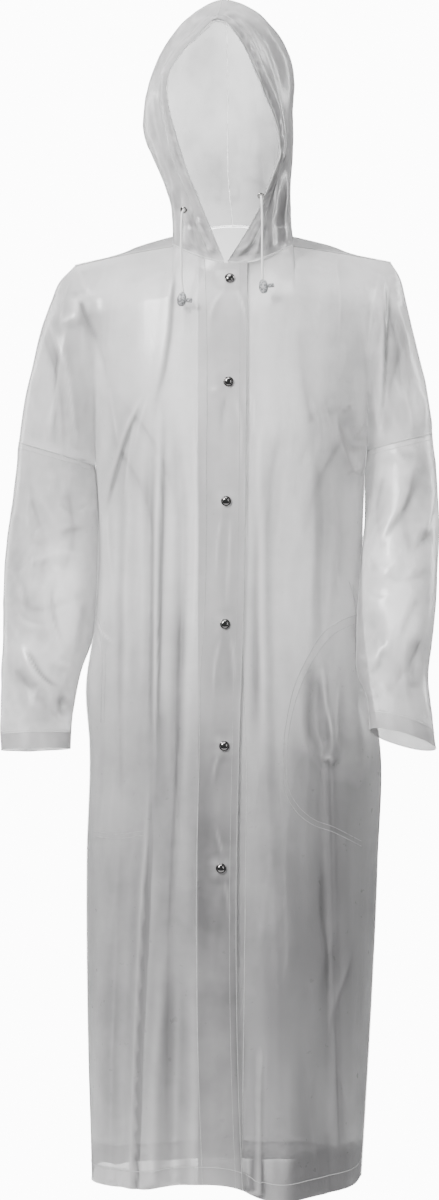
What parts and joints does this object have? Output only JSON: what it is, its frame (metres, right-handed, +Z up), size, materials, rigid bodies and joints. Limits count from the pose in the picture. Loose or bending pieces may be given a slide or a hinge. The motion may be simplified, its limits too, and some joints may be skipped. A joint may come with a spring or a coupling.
{
  "type": "raincoat",
  "caption": "Long hooded raincoat of clear frosted film with a snap front, dropped sleeves, D-shaped pockets and a drawstring hood, in its worn form.",
  "frame": {"origin": "the point between the shoulders, level with the neck of the coat, where the wearer holds it up", "axes": "+Z up, the fronts face -Y, +X is the wearer's left"},
  "size_m": [0.5691, 0.2926, 1.5382],
  "materials": {
    "film": "frosted, see-through, soft satin sheen",
    "snap_metal": "polished dark nickel",
    "cord": "braided, matt white",
    "stopper_plastic": "clear moulded plastic"
  },
  "bodies": {
    "root": {"back": "film", "cord_left": "cord", "cord_right": "cord", "drawstring": "cord", "eyelet_left": "snap_metal", "eyelet_right": "snap_metal", "facing_left": "film", "facing_right": "film", "front_left": "film", "front_right": "film", "hood_casing": "film", "hood_left": "film", "hood_right": "film", "pocket_left": "film", "pocket_right": "film", "sleeve_left": "film", "sleeve_right": "film", "snap_cap_1": "snap_metal", "snap_cap_2": "snap_metal", "snap_cap_3": "snap_metal", "snap_cap_4": "snap_metal", "snap_cap_5": "snap_metal", "snap_cap_6": "snap_metal", "snap_stud_1": "snap_metal", "snap_stud_2": "snap_metal", "snap_stud_3": "snap_metal", "snap_stud_4": "snap_metal", "snap_stud_5": "snap_metal", "snap_stud_6": "snap_metal", "stopper_button_left": "stopper_plastic", "stopper_button_right": "stopper_plastic", "stopper_left": "stopper_plastic", "stopper_right": "stopper_plastic"}
  },
  "joints": []
}
